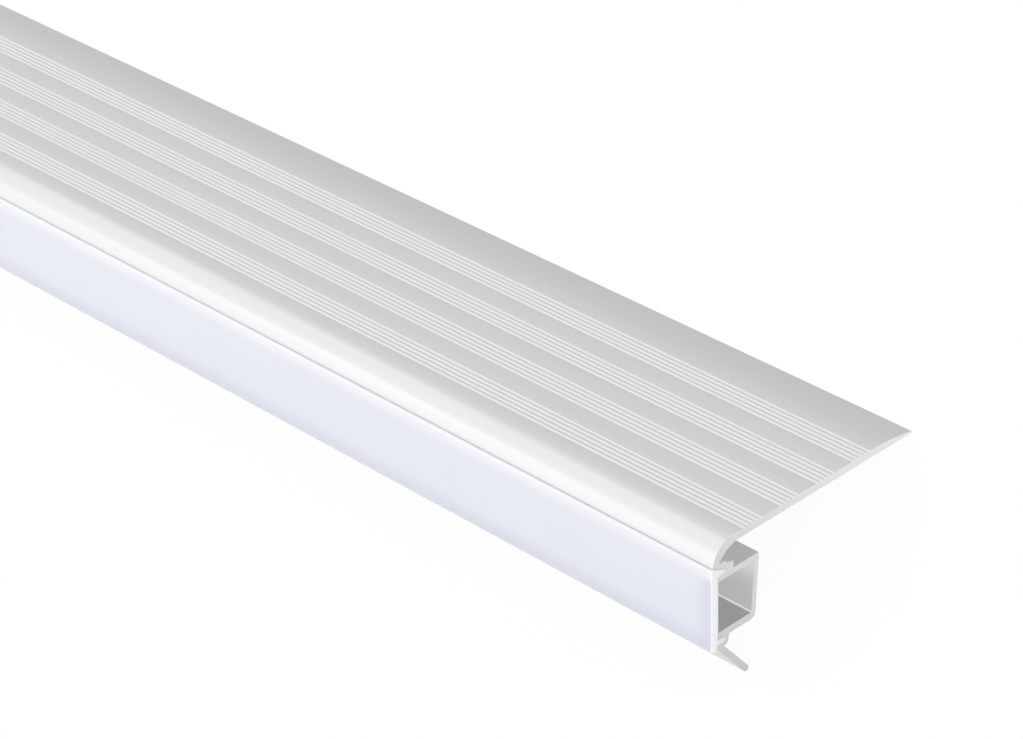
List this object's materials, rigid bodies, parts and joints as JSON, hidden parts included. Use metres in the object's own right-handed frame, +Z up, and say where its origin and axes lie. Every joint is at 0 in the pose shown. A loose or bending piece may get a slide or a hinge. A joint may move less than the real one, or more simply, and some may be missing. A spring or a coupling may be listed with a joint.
{
  "type": "stair nosing with light channel",
  "caption": "Aluminium stair nosing: flat tread plate with fine anti-slip grooves, rounded nose, and below it a light strip channel closed by a snap-in opal cover, with a slanted flange.",
  "frame": {"origin": "centre of the bounding box's base: middle of the stock's length, on the floor the nosing rests on", "axes": "+X along the stock, +Y from the nose towards the back edge of the tread, +Z up. Stored as it comes to rest: the back edge of the tread and the round end of the flange touch the floor, so the tread rises towards the nose by 33.6 degrees from its mounted, level pose"},
  "size_m": [1, 0.0634, 0.0324],
  "materials": {
    "aluminium": "fine satin, silver anodised",
    "opal_plastic": "opal white with a cool cast, smooth and slightly glossy"
  },
  "bodies": {
    "root": {"nosing_profile": "aluminium", "diffuser_cover": "opal_plastic"}
  },
  "joints": []
}
